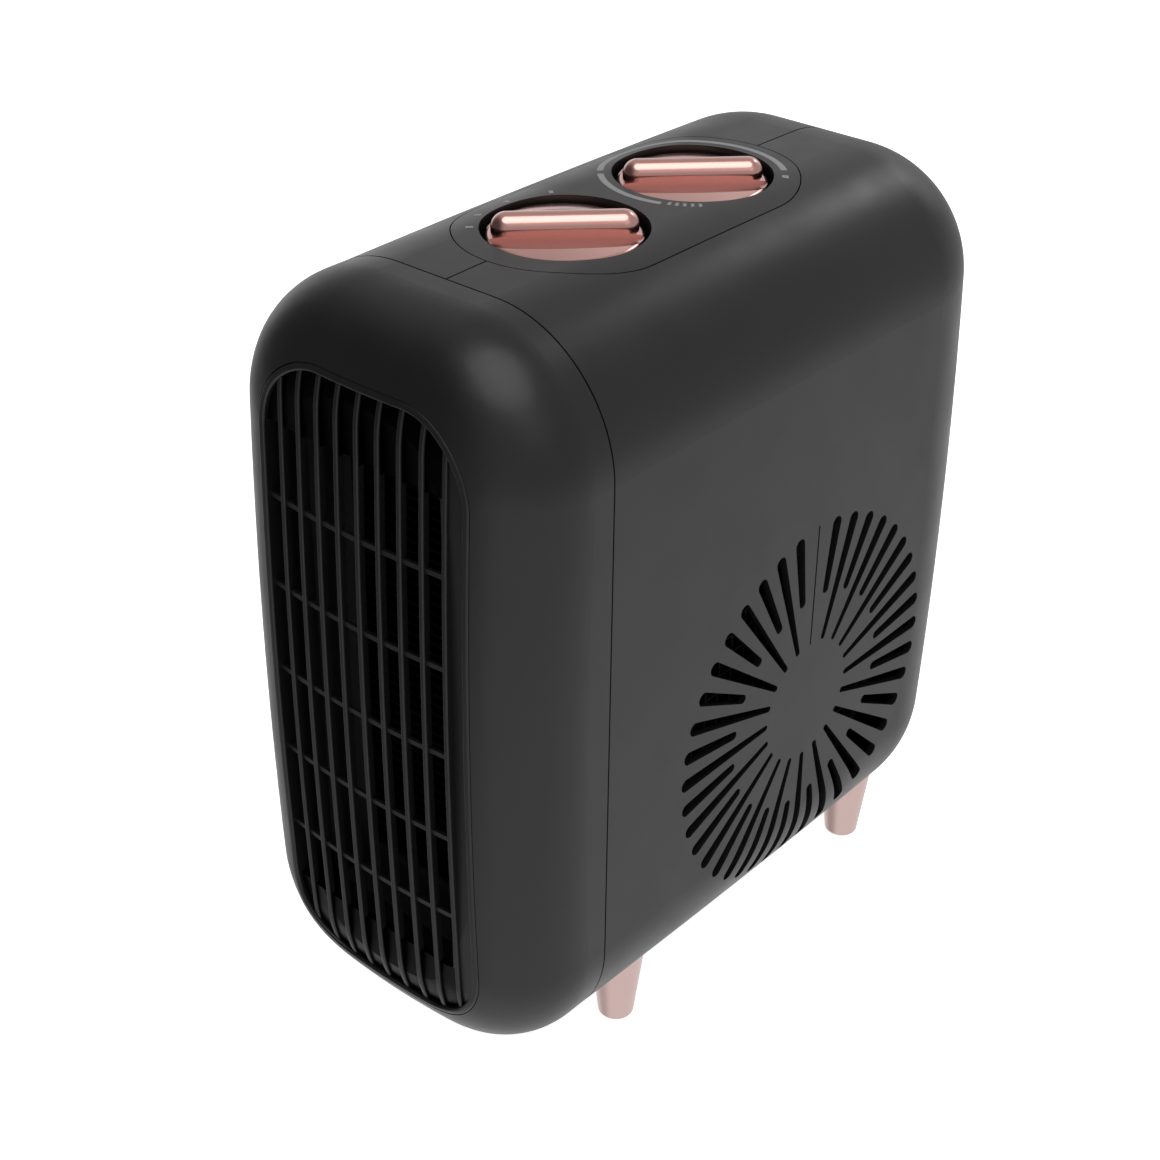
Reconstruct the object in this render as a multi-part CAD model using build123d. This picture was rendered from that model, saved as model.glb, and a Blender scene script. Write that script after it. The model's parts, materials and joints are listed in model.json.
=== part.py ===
from build123d import *
import math
import os

# Ceramic fan heater, millimetres.
# Frame: +Z up, front (warm air outlet) towards -Y, air intake on the +X side.
# The origin is on the floor, under the middle of the body.

# ---- body envelope ----
HALF_WIDTH = 58.0
BACK_Y = 117.0
FRONT_Y = -117.0
SEAM_Y = -79.2
SEAM_BOTTOM_Z, SEAM_TOP_Z = 21.0, 255.0
BELLY_Z, CROWN_Z = 20.0, 256.0
BACK_BOTTOM_Z, BACK_TOP_Z = 22.0, 255.0
BACK_CORNER_Y = 110.8
EDGE_R = 40.3
BACK_CORNER_R = 40.9
FRONT_EDGE_R = 27.0
FRONT_ROLL_R = 40.1
FRONT_ROLL_RISE = 30.8
FRONT_BOW_R = 1700.0
FRONT_PLAN_R = 300.0
BODY_MID_Z = (SEAM_BOTTOM_Z + SEAM_TOP_Z) / 2
WALL = 2.5
GROOVE = 0.5
GROOVE_DEPTH = 1.0
LEDGE_W = 2.5

# ---- air intake, on the right side ----
AXIS_Y, AXIS_Z = 16.4, 101.2
INTAKE_R, INTAKE_HUB_R, INTAKE_MID_R = 62.0, 20.2, 36.6
SLOT_COUNT = 40
SLOT_W_IN, SLOT_W_OUT = 2.0, 4.4
MARK_HALF_W, MARK_DEPTH = 0.3, 0.5

# ---- outlet grille ----
GRILLE_HALF_W = 39.0
GRILLE_MID_Z = 136.7
GRILLE_HALF_H = 100.3
GRILLE_CORNER_R = 24.0
GRILLE_GAP = 0.2
GRILLE_RING = 2.2
RING_EDGE_R = 0.7
GRILLE_BACK_Y = -98.0
SLAT_INSET, SLAT_DEPTH = 1.0, 2.4
SLAT_PITCH = 7.575
SLAT_COUNT = 9
SLAT_W = 1.7
SLAT_EDGE_R = 0.55
BAR_INSET, BAR_DEPTH, BAR_W = 2.0, 1.1, 1.5
BAR_MID_Z, BAR_PITCH = 135.6, 28.1
BAR_COUNT = 5
BORDER_Y, BORDER_T = -112.0, 2.0
WINDOW_RIGHT_X, WINDOW_R = 28.5, 1.5
WINDOW_Z0, WINDOW_Z1 = 59.0, 214.7

# ---- controls on the top ----
FRONT_KNOB_Y, REAR_KNOB_Y = -32.5, 23.6
FASCIA_R = 31.5
FASCIA_GAP = 0.35
FASCIA_UNDER_Z = 251.0
WELL_R = 23.6
WELL_FLOOR_Z = 243.0
WELL_FLOOR_T = 2.0
KNOB_R = 22.0
KNOB_BASE_Z = 244.0
KNOB_CROWN_Z, KNOB_DOME_R = 255.9, 150.0
KNOB_RIM_R = 1.6
KNOB_TOP_Z = 260.3
KNOB_BORE_TOP_Z = 251.0
GRIP_HALF_W = 4.3
GRIP_HALF_L = 20.4
SCOOP_FLOOR_Z, SCOOP_REACH_R = 253.8, 38.6
GRIP_ANGLE = 45.9
SHAFT_R = 3.0
SHAFT_HOLE_GAP = 0.5
RUN_FIT = 0.06
SWITCH_BOTTOM_Z, SWITCH_FLOOR_T = 222.0, 4.0
SWITCH_HALF_W, SWITCH_CORNER_R = 13.0, 2.5
SWITCH_TAB_AT = 8.0
TAB_L, TAB_HALF_T = 7.0, 0.4
SMALL_TAB_HALF_W, LARGE_TAB_HALF_W = 2.4, 3.1
THERMO_HALF_X, THERMO_HALF_Y = 16.0, 10.0
BLADE_X0, BLADE_X1, BLADE_FOOT_L = -14.0, 13.0, 5.0
BLADE_HALF_W, BLADE_T, BLADE_DROP = 3.0, 0.8, 3.0
CONTACT_R, CONTACT_T = 1.6, 1.2

# ---- fan ----
IMPELLER_R, BLADE_INNER_R = 46.0, 38.0
IMPELLER_PLATE_X = -19.0
IMPELLER_MOUTH_X = 29.0
BLADE_COUNT = 30
BLADE_ANGLE = 25.0
HUB_R = 7.0
IMPELLER_WALL = 2.0
IMPELLER_BLADE_HALF_T, IMPELLER_BLADE_INSET = 0.5, 0.2
MOTOR_R = 26.0
MOTOR_X0, MOTOR_X1 = -54.0, -22.0
MOTOR_GAP = 0.5
ROTOR_R, ROTOR_END_GAP = 14.0, 2.0
BEARING_R, BEARING_L = 6.0, 5.0
BRACKET_R, BRACKET_HOLE_R, BRACKET_T = 36.0, 31.0, 2.0
FAN_SHAFT_X0, FAN_SHAFT_X1 = -53.0, 2.0
SCROLL_X0, SCROLL_X1 = -36.0, 36.0
SCROLL_WALL = 2.0
SCROLL_R_BOTTOM, SCROLL_R_BACK, SCROLL_R_TOP = 53.0, 61.0, 70.0
SCROLL_TONGUE = (49.5, 218.0)
SCROLL_VIA = ((51.0, 245.0), (57.0, 315.0), (65.5, 45.0))
INLET_R = 40.0
COLLAR_R, COLLAR_X = 60.0, 45.0
FILTER_RIM, FILTER_T = 4.0, 2.0
MESH_PITCH, STRAND_HALF_W = 6.0, 0.3

# ---- outlet duct and heating element ----
DUCT_HALF_W = 36.0
DUCT_WALL = 2.0
FLANGE_LAP, EAR_HALF = 2.0, 4.5
DUCT_BOTTOM_Z, DUCT_TOP_Z = 50.0, 212.0
DUCT_FRONT_Y = GRILLE_BACK_Y
DUCT_BACK_Y = -46.0
SCROLL_MOUTH_Z0, SCROLL_MOUTH_Z1 = 56.0, 180.0
ELEMENT_Y0, ELEMENT_Y1 = -90.0, -66.0
ELEMENT_MID_Y = (ELEMENT_Y0 + ELEMENT_Y1) / 2
CORE_HALF_W = 28.0
CORE_Z0, CORE_Z1 = 62.0, 200.0
FIN_PITCH = 3.45
FIN_T = 0.8
CORE_INSET, END_PLATE_T = 2.0, 1.5
TUBE_XS = (-13.0, 13.0)
TUBE_WALL, TUBE_END = 1.0, 2.0
STONE_COUNT, STONE_HALF_T, STONE_GAP = 5, 1.4, 1.0
CUTOUT_R, CUTOUT_CAP_R, CUTOUT_SETBACK = 8.0, 6.5, 9.0
CUTOUT_RIM_H, CUTOUT_CAP_H = 4.0, 6.0
FUSE_R, FUSE_HALF_L = 2.0, 6.0
FUSE_WIRE_R, FUSE_WIRE_HALF_L = 0.6, 16.0

# ---- feet ----
FOOT_X = 34.5
FOOT_YS = (-44.5, 82.0)
FOOT_BOTTOM_R, FOOT_TOP_R = 5.6, 8.2
FOOT_TOP_Z, FOOT_OVERLAP = 23.0, 12.0
FOOT_EDGE_R = 1.4
FOOT_PAD_T = 1.6
FOOT_FACE_Z = 0.6
FOOT_PAD_R = 4.0

# ---- fastenings and small parts ----
BOSS_R, BOSS_BORE_R = 4.0, 1.5
CASE_BOSS_R = 5.5
SCREW_HEAD_R, SCREW_HEAD_L = 2.8, 2.0
HEAD_GAP = 0.4
CASE_SCREW_YZ = ((-66.0, 236.0), (92.0, 218.0), (92.0, 56.0), (-66.0, 37.0))
CASE_SCREW_HEAD_X, CASE_SCREW_TIP_X = -34.0, 14.0
DUCT_SCREW_X, DUCT_SCREW_ZS, DUCT_SCREW_L = 46.0, (70.0, 200.0), 8.0
FOOT_BOSS_R, FOOT_BOSS_TOP_Z, FOOT_SCREW_TIP_Z = 6.0, 31.0, 12.0
CORD_X, CORD_Z, CORD_SEAT_Y = -26.0, 70.0, 111.8
CORD_BUSH_R, CORD_FLANGE_R, CORD_BORE_R = 6.0, 8.5, 3.6
CORD_BUSH_L, CORD_FLANGE_T = 9.0, 3.0
TILT_Y, TILT_HALF_Y, TILT_WALL = 60.0, 10.0, 2.0
TILT_X0, TILT_X1 = -19.0, -3.0
TILT_BASE_Z, TILT_TOP_Z = 26.0, 48.0
TILT_PIN_Z, TILT_PIN_R = 43.0, 1.0
TILT_ARM_L, TILT_ARM_HALF_W = 9.5, 1.2
TILT_BOB_R, TILT_BOB_HALF_L = 3.5, 4.0
PLINTH_MARGIN = 3.0
TERMINAL_BOX = (22.0, 52.0, 140.0, 158.0)
TERMINAL_H, CLAMP_R, CLAMP_FLOOR = 14.0, 2.5, 8.0
CLAMP_SCREW_L, WIRE_HOLE_R = 3.0, 1.6


def block(x0, x1, y0, y1, z0, z1):
    size = (abs(x1 - x0), abs(y1 - y0), abs(z1 - z0))
    return Pos((x0 + x1) / 2, (y0 + y1) / 2, (z0 + z1) / 2) * Box(*size)


def rod(axis, centre, r, start, end):
    """A cylinder along axis 'X', 'Y' or 'Z', from start to end on that axis."""
    turn = {"X": Rot(0, 90, 0), "Y": Rot(90, 0, 0), "Z": Rot(0, 0, 0)}[axis]
    mid = (start + end) / 2
    place = {"X": (mid, *centre), "Y": (centre[0], mid, centre[-1]), "Z": (*centre, mid)}[axis]
    return Pos(*place) * turn * Cylinder(r, abs(end - start))


def tube(axis, centre, r, bore, start, end):
    return rod(axis, centre, r, start, end) - rod(axis, centre, bore, start, end)


def rounded_prism_y(half_w, z0, z1, r, y0, y1):
    """A rounded rectangle in the XZ plane, extruded along Y."""
    b = block(-half_w, half_w, y0, y1, z0, z1)
    return fillet(b.edges().filter_by(Axis.Y), r)


def stadium(r, z0, z1):
    """An upright prism with a half circle round each knob axis."""
    b = block(-r, r, FRONT_KNOB_Y, REAR_KNOB_Y, z0, z1)
    for y in (FRONT_KNOB_Y, REAR_KNOB_Y):
        b += rod("Z", (0, y), r, z0, z1)
    return b


# ---- envelopes ----

def main_envelope(inset):
    """The outer shape behind the front seam, moved inwards by inset."""
    top, low = inset, -inset
    yb = BACK_CORNER_Y - inset
    with BuildPart() as p:
        with BuildSketch(Plane.YZ):
            with BuildLine():
                Line((SEAM_Y, SEAM_BOTTOM_Z - low), (SEAM_Y, SEAM_TOP_Z - top))
                ThreePointArc((SEAM_Y, SEAM_TOP_Z - top), (AXIS_Y, CROWN_Z - top), (yb, BACK_TOP_Z - top))
                ThreePointArc((yb, BACK_TOP_Z - top), (BACK_Y - inset, BODY_MID_Z), (yb, BACK_BOTTOM_Z - low))
                ThreePointArc((yb, BACK_BOTTOM_Z - low), (AXIS_Y, BELLY_Z - low), (SEAM_Y, SEAM_BOTTOM_Z - low))
            make_face()
        extrude(amount=HALF_WIDTH - inset, both=True)
        back = [e for e in p.edges().filter_by(Axis.X) if e.center().Y > 0]
        fillet(back, BACK_CORNER_R - inset)
        rim = [e for e in p.edges() if abs(abs(e.center().X) - HALF_WIDTH + inset) < 0.01]
        rim = [e for e in rim if e.center().Y > SEAM_Y + 0.01]
        fillet(rim, EDGE_R - inset)
    return p.part


def bent_plate(inset):
    """The bowed front: a plan arc swept down the front and rolled over at top and bottom."""
    y_front = FRONT_Y + inset
    plan_r = FRONT_PLAN_R - inset
    reach = HALF_WIDTH + 4
    sag = plan_r - math.sqrt(plan_r ** 2 - reach ** 2)
    roll_r = FRONT_ROLL_R - inset
    depth = roll_r - 2
    bow_r = FRONT_BOW_R - inset
    half_h = BODY_MID_Z - SEAM_BOTTOM_Z - FRONT_ROLL_RISE
    half_angle = math.degrees(math.asin(half_h / bow_r))
    with BuildSketch(Plane.XY) as plan:
        with BuildLine():
            ThreePointArc((-reach, y_front + sag), (0, y_front), (reach, y_front + sag))
            Line((reach, y_front + sag), (reach, y_front + depth))
            Line((reach, y_front + depth), (-reach, y_front + depth))
            Line((-reach, y_front + depth), (-reach, y_front + sag))
        make_face()
    face = Pos(0, 0, BODY_MID_Z) * plan.sketch
    bow_axis = Axis((0, y_front + bow_r, BODY_MID_Z), (1, 0, 0))
    low_face = face.rotate(bow_axis, half_angle)
    plate = revolve(low_face, bow_axis, -2 * half_angle)
    for side in (1, -1):
        end = face.rotate(bow_axis, -side * half_angle)
        tilt = math.radians(half_angle)
        y = y_front + bow_r - (bow_r - roll_r) * math.cos(tilt)
        z = BODY_MID_Z + side * (bow_r - roll_r) * math.sin(tilt)
        plate += revolve(end, Axis((0, y, z), (1, 0, 0)), -side * 100)
    return plate


def front_envelope(inset):
    """The outer shape in front of the seam, moved inwards by inset."""
    z0, z1 = SEAM_BOTTOM_Z + inset, SEAM_TOP_Z - inset
    body = rounded_prism_y(HALF_WIDTH - inset, z0, z1, EDGE_R - inset, FRONT_Y - 5, SEAM_Y)
    body = body & bent_plate(inset)
    body = body.solids().sort_by(SortBy.VOLUME)[-1]
    sides = [f for f in body.faces() if abs(f.normal_at(f.center()).Y) < 1e-4]
    fronts = [f for f in body.faces() if f.normal_at(f.center()).Y < -0.05]
    side_edges = [e for f in sides for e in f.edges()]
    front_edges = [e for f in fronts for e in f.edges()]
    rim = [e for e in front_edges if any(e.is_same(s) for s in side_edges)]
    return fillet(rim, FRONT_EDGE_R - inset)


# ---- housing ----

def seam_groove():
    """The fine line round the body between the front cover and the two shells."""
    half = GROOVE / 2
    low, high = SEAM_BOTTOM_Z, SEAM_TOP_Z
    span = (SEAM_Y - half, SEAM_Y + half)
    outside = rounded_prism_y(HALF_WIDTH + 1, low - 1, high + 1, EDGE_R + 1, *span)
    d = GROOVE_DEPTH
    return outside - rounded_prism_y(HALF_WIDTH - d, low + d, high - d, EDGE_R - d, *span)


def slot(r_in, r_out):
    """One intake slot, upright over the intake's centre, widening outwards."""
    spread = (SLOT_W_OUT - SLOT_W_IN) / (INTAKE_R - INTAKE_HUB_R)
    w_in = SLOT_W_IN + spread * (r_in - INTAKE_HUB_R)
    a, b = w_in / 2, SLOT_W_OUT / 2
    with BuildSketch(Plane.YZ) as s:
        with BuildLine():
            Polyline((-a, r_in + a), (a, r_in + a), (b, r_out - b), (-b, r_out - b), close=True)
        make_face()
        with Locations((0, r_in + a)):
            Circle(a)
        with Locations((0, r_out - b)):
            Circle(b)
    return extrude(s.sketch, 40)


def intake_slots():
    long_slot, short_slot = slot(INTAKE_HUB_R, INTAKE_R), slot(INTAKE_MID_R, INTAKE_R)
    slots = []
    for i in range(1, SLOT_COUNT):
        shape = short_slot if i % 2 else long_slot
        slots.append(Pos(30, AXIS_Y, AXIS_Z) * Rot(360 * i / SLOT_COUNT, 0, 0) * shape)
    return slots


def case_shell(side):
    """One side shell: side is 1 on the right (+X) and -1 on the left."""
    outer = main_envelope(0)
    core = main_envelope(GROOVE_DEPTH + 0.2)
    reach = HALF_WIDTH + 5
    half = block(0, side * reach, SEAM_Y - 5, BACK_Y + 5, 0, CROWN_Z + 10)
    shell = (outer - main_envelope(WALL)) & half
    ledge = stadium(FASCIA_R + LEDGE_W, FASCIA_UNDER_Z - LEDGE_W, CROWN_Z)
    ledge -= stadium(FASCIA_R, FASCIA_UNDER_Z, CROWN_Z + 1)
    ledge -= stadium(FASCIA_R - LEDGE_W, FASCIA_UNDER_Z - 2 * LEDGE_W, CROWN_Z + 1)
    adds = [ledge]
    for y, z in CASE_SCREW_YZ:
        adds.append(rod("X", (y, z), CASE_BOSS_R, 0, side * reach))
    for y in FOOT_YS:
        adds.append(rod("Z", (side * FOOT_X, y), FOOT_BOSS_R, FOOT_BOSS_TOP_Z, 0))
    if side < 0:
        y0, y1 = TILT_Y - TILT_HALF_Y - PLINTH_MARGIN, TILT_Y + TILT_HALF_Y + PLINTH_MARGIN
        adds.append(block(TILT_X0 - PLINTH_MARGIN, 0, y0, y1, 0, TILT_BASE_Z))
    for a in adds:
        shell += a & core & half
    shell -= stadium(FASCIA_R, FASCIA_UNDER_Z, CROWN_Z + 10)
    groove = block(0, side * GROOVE / 2, SEAM_Y - 1, BACK_Y + 5, 0, CROWN_Z + 5)
    shell -= groove - main_envelope(GROOVE_DEPTH)
    shell -= seam_groove()
    for y, z in CASE_SCREW_YZ:
        if side > 0:
            shell -= rod("X", (y, z), BOSS_BORE_R, -1, CASE_SCREW_TIP_X)
        else:
            shell -= rod("X", (y, z), BOSS_BORE_R, 1, -reach)
            shell -= rod("X", (y, z), SCREW_HEAD_R + HEAD_GAP, CASE_SCREW_HEAD_X, -reach)
    for y in FOOT_YS:
        shell -= rod("Z", (side * FOOT_X, y), BOSS_BORE_R, 0, FOOT_BOSS_TOP_Z + 1)
    if side > 0:
        shell -= intake_slots()
        shell -= block(HALF_WIDTH - MARK_DEPTH, reach, AXIS_Y - MARK_HALF_W, AXIS_Y + MARK_HALF_W,
                       AXIS_Z + INTAKE_HUB_R, AXIS_Z + INTAKE_R)
    else:
        shell -= rod("Y", (CORD_X, CORD_Z), CORD_BUSH_R, CORD_SEAT_Y - CORD_BUSH_L, BACK_Y + 5)
        shell -= rod("Y", (CORD_X, CORD_Z), CORD_FLANGE_R, CORD_SEAT_Y, BACK_Y + 5)
    return shell.solids().sort_by(SortBy.VOLUME)[-1]


def grille_prism(grow, y0, y1):
    half_w, half_h = GRILLE_HALF_W + grow, GRILLE_HALF_H + grow
    z0, z1 = GRILLE_MID_Z - half_h, GRILLE_MID_Z + half_h
    return rounded_prism_y(half_w, z0, z1, GRILLE_CORNER_R + grow, y0, y1)


def front_cover():
    shell = front_envelope(0) - front_envelope(WALL)
    core = front_envelope(GROOVE_DEPTH + 0.2)
    for x in (-DUCT_SCREW_X, DUCT_SCREW_X):
        for z in DUCT_SCREW_ZS:
            shell += rod("Y", (x, z), BOSS_R, FRONT_Y, GRILLE_BACK_Y) & core
    shell -= grille_prism(0, FRONT_Y - 5, GRILLE_BACK_Y)
    shell -= seam_groove()
    for x in (-DUCT_SCREW_X, DUCT_SCREW_X):
        for z in DUCT_SCREW_ZS:
            shell -= rod("Y", (x, z), BOSS_BORE_R, GRILLE_BACK_Y - DUCT_SCREW_L, GRILLE_BACK_Y + 1)
    return shell.solids().sort_by(SortBy.VOLUME)[-1]


def grille_ring():
    """The grille's outer ring, flush with the cover, with a rounded front edge."""
    front, outside, inside = FRONT_Y - 5, -GRILLE_GAP, -GRILLE_GAP - GRILLE_RING
    ring = grille_prism(outside, front, GRILLE_BACK_Y) - grille_prism(inside, front, GRILLE_BACK_Y)
    ring = ring & bent_plate(0)
    crest = [f for f in ring.faces() if f.normal_at(f.center()).Y < -0.5]
    return fillet([e for f in crest for e in f.edges() if e.length > GRILLE_RING + 0.5], RING_EDGE_R)


def grille_slat(x, layer):
    """One upright slat, cut from the bowed layer, with a rounded front."""
    slat = block(x - SLAT_W / 2, x + SLAT_W / 2, FRONT_Y, GRILLE_BACK_Y, 0, CROWN_Z) & layer
    front = [f for f in slat.faces() if f.normal_at(f.center()).Y < -0.5]
    return fillet([e for f in front for e in f.edges() if e.length > SLAT_W + 0.5], SLAT_EDGE_R)


def outlet_grille():
    """Upright slats and cross bars in a ring, over a flat border that holds the outlet window."""
    inside = grille_prism(-GRILLE_GAP - GRILLE_RING / 2, FRONT_Y - 5, GRILLE_BACK_Y)
    border = inside & block(-HALF_WIDTH, HALF_WIDTH, BORDER_Y, BORDER_Y + BORDER_T, 0, CROWN_Z)
    half_w, mid_x = (WINDOW_RIGHT_X + HALF_WIDTH) / 2, (WINDOW_RIGHT_X - HALF_WIDTH) / 2
    window = rounded_prism_y(half_w, WINDOW_Z0, WINDOW_Z1, WINDOW_R, FRONT_Y, GRILLE_BACK_Y)
    border -= Pos(mid_x, 0, 0) * window
    grille = grille_ring() + (border & bent_plate(BAR_INSET))
    layer = bent_plate(SLAT_INSET) - bent_plate(SLAT_INSET + SLAT_DEPTH)
    last_slat_x = SLAT_PITCH * (SLAT_COUNT - 1) / 2
    for i in range(SLAT_COUNT):
        grille += grille_slat(i * SLAT_PITCH - last_slat_x, layer) & inside
    layer = bent_plate(BAR_INSET) - bent_plate(BAR_INSET + BAR_DEPTH)
    for i in range(BAR_COUNT):
        z = BAR_MID_Z + (i - (BAR_COUNT - 1) / 2) * BAR_PITCH
        bar = block(-HALF_WIDTH, last_slat_x, FRONT_Y, GRILLE_BACK_Y, z - BAR_W / 2, z + BAR_W / 2)
        grille += bar & layer & inside
    return grille.solids().sort_by(SortBy.VOLUME)[-1]


def control_fascia():
    plate = stadium(FASCIA_R - FASCIA_GAP, FASCIA_UNDER_Z, CROWN_Z + 5) & main_envelope(0)
    for y in (FRONT_KNOB_Y, REAR_KNOB_Y):
        plate += rod("Z", (0, y), WELL_R + WELL_FLOOR_T, WELL_FLOOR_Z - WELL_FLOOR_T, FASCIA_UNDER_Z + 1)
    for y in (FRONT_KNOB_Y, REAR_KNOB_Y):
        plate -= rod("Z", (0, y), WELL_R, WELL_FLOOR_Z, CROWN_Z + 5)
        plate -= rod("Z", (0, y), SHAFT_R + SHAFT_HOLE_GAP, WELL_FLOOR_Z - 5, WELL_FLOOR_Z + 1)
    return plate.solids().sort_by(SortBy.VOLUME)[-1]


# ---- controls ----

def finger_scoop():
    """What is cut away on one side of the grip: deepest at the bar, then a gentle rise."""
    low, end_v = (GRIP_HALF_W, SCOOP_FLOOR_Z), KNOB_R + 2
    rise = SCOOP_REACH_R - math.sqrt(SCOOP_REACH_R ** 2 - (end_v - GRIP_HALF_W) ** 2)
    end = (end_v, SCOOP_FLOOR_Z + rise)
    with BuildSketch(Plane.YZ) as s:
        with BuildLine():
            RadiusArc(low, end, -SCOOP_REACH_R)
            Polyline(end, (end_v, KNOB_TOP_Z + 2), (GRIP_HALF_W, KNOB_TOP_Z + 2), low)
        make_face()
    return extrude(s.sketch, KNOB_R + 2, both=True)


def knob(y):
    """A domed disc with a rounded grip bar between two finger scoops."""
    body = rod("Z", (0, 0), KNOB_R, KNOB_BASE_Z, KNOB_CROWN_Z)
    body = body & Pos(0, 0, KNOB_CROWN_Z - KNOB_DOME_R) * Sphere(KNOB_DOME_R)
    rings = [e for e in body.edges() if e.length > 2 * KNOB_R]
    body = fillet(max(rings, key=lambda e: e.center().Z), KNOB_RIM_R)
    scoop = finger_scoop()
    body -= scoop
    body -= Rot(0, 0, 180) * scoop
    flat = GRIP_HALF_L - GRIP_HALF_W
    pill_z = KNOB_TOP_Z - GRIP_HALF_W
    grip = block(-flat, flat, -GRIP_HALF_W, GRIP_HALF_W, KNOB_BASE_Z + 4, pill_z)
    grip += rod("X", (0, pill_z), GRIP_HALF_W, -flat, flat)
    for side in (-1, 1):
        grip += rod("Z", (side * flat, 0), GRIP_HALF_W, KNOB_BASE_Z + 4, pill_z)
        grip += Pos(side * flat, 0, pill_z) * Sphere(GRIP_HALF_W)
    body += grip
    body -= rod("Z", (0, 0), SHAFT_R, KNOB_BASE_Z - 1, KNOB_BORE_TOP_Z)
    return Pos(0, y, 0) * Rot(0, 0, GRIP_ANGLE) * body


def control_shaft(y):
    return rod("Z", (0, y), SHAFT_R, SWITCH_BOTTOM_Z + 6, KNOB_BORE_TOP_Z)


def tab(x, y, z0, z1, half_w):
    """A flat blade terminal, standing upright across X."""
    return block(x - half_w, x + half_w, y - TAB_HALF_T, y + TAB_HALF_T, z0, z1)


def shaft_bore(y):
    return rod("Z", (0, y), SHAFT_R + RUN_FIT, SWITCH_BOTTOM_Z + SWITCH_FLOOR_T, WELL_FLOOR_Z)


def selector_switch():
    """The rotary power switch: a square body with four blade terminals below."""
    y, top, half = FRONT_KNOB_Y, WELL_FLOOR_Z - WELL_FLOOR_T, SWITCH_HALF_W
    body = block(-half, half, y - half, y + half, SWITCH_BOTTOM_Z, top)
    body = fillet(body.edges().filter_by(Axis.Z), SWITCH_CORNER_R)
    for dx in (-SWITCH_TAB_AT, SWITCH_TAB_AT):
        for dy in (-SWITCH_TAB_AT, SWITCH_TAB_AT):
            body += tab(dx, y + dy, SWITCH_BOTTOM_Z - TAB_L, SWITCH_BOTTOM_Z, SMALL_TAB_HALF_W)
    return body - shaft_bore(y)


def thermostat():
    """The room thermostat's ceramic base, with the foot that the bimetal blade is fixed to."""
    y, top = REAR_KNOB_Y, WELL_FLOOR_Z - WELL_FLOOR_T
    half_x, half_y = THERMO_HALF_X, THERMO_HALF_Y
    base = block(-half_x, half_x, y - half_y, y + half_y, SWITCH_BOTTOM_Z, top)
    base = fillet(base.edges().filter_by(Axis.Z), SWITCH_CORNER_R)
    base += block(BLADE_X0, BLADE_X0 + BLADE_FOOT_L, y - BLADE_HALF_W, y + BLADE_HALF_W,
                  SWITCH_BOTTOM_Z - BLADE_DROP, SWITCH_BOTTOM_Z)
    return base - shaft_bore(y)


def thermostat_blade():
    y, z = REAR_KNOB_Y, SWITCH_BOTTOM_Z - BLADE_DROP
    blade = block(BLADE_X0, BLADE_X1, y - BLADE_HALF_W, y + BLADE_HALF_W, z - BLADE_T, z)
    return blade + rod("Z", (BLADE_X1 - 2 * CONTACT_R, y), CONTACT_R, z, z + CONTACT_T)


# ---- fan ----

def scroll_outline(grow):
    """The volute in the YZ plane: lower lip, tongue, three widening arcs and the upper lip."""
    def polar(r, angle):
        a = math.radians(angle)
        return (AXIS_Y + r * math.cos(a), AXIS_Z + r * math.sin(a))
    mouth_low = (DUCT_BACK_Y, SCROLL_MOUTH_Z0)
    mouth_high = (DUCT_BACK_Y, SCROLL_MOUTH_Z1)
    tongue = polar(*SCROLL_TONGUE)
    low, back, top = polar(SCROLL_R_BOTTOM, 270), polar(SCROLL_R_BACK, 0), polar(SCROLL_R_TOP, 90)
    via_low, via_back, via_top = (polar(*spot) for spot in SCROLL_VIA)
    with BuildSketch(Plane.YZ) as s:
        with BuildLine():
            Line(mouth_low, tongue)
            ThreePointArc(tongue, via_low, low)
            ThreePointArc(low, via_back, back)
            ThreePointArc(back, via_top, top)
            Line(top, mouth_high)
            Line(mouth_high, mouth_low)
        make_face()
        if grow:
            offset(amount=grow)
    return s.sketch


def scroll_prism(grow, x0, x1):
    return Pos(x0, 0, 0) * extrude(scroll_outline(grow), x1 - x0)


def scroll_housing():
    inner_x = SCROLL_X0 + SCROLL_WALL
    cover_x = SCROLL_X1 - SCROLL_WALL
    body = scroll_prism(SCROLL_WALL, SCROLL_X0, cover_x)
    body -= scroll_prism(0, inner_x, cover_x + 1)
    body -= block(SCROLL_X0 - 1, SCROLL_X1, DUCT_BACK_Y - 20, DUCT_BACK_Y, 0, CROWN_Z)
    body -= rod("X", (AXIS_Y, AXIS_Z), MOTOR_R + MOTOR_GAP, SCROLL_X0 - 1, inner_x + 1)
    for y, z in bracket_holes():
        body -= rod("X", (y, z), BOSS_BORE_R, SCROLL_X0 - 1, inner_x + 1)
    return body.solids().sort_by(SortBy.VOLUME)[-1]


def scroll_cover():
    """The intake side wall of the scroll, with the collar that carries the dust filter."""
    x0 = SCROLL_X1 - SCROLL_WALL
    plate = scroll_prism(SCROLL_WALL, x0, SCROLL_X1)
    plate -= block(x0 - 1, SCROLL_X1 + 1, DUCT_BACK_Y - 20, DUCT_BACK_Y, 0, CROWN_Z)
    centre = (AXIS_Y, AXIS_Z)
    plate += rod("X", centre, COLLAR_R, x0, SCROLL_X1)
    plate += tube("X", centre, COLLAR_R, COLLAR_R - SCROLL_WALL, x0, COLLAR_X)
    plate -= rod("X", centre, INLET_R, x0 - 1, SCROLL_X1 + 1)
    return plate.solids().sort_by(SortBy.VOLUME)[-1]


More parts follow.
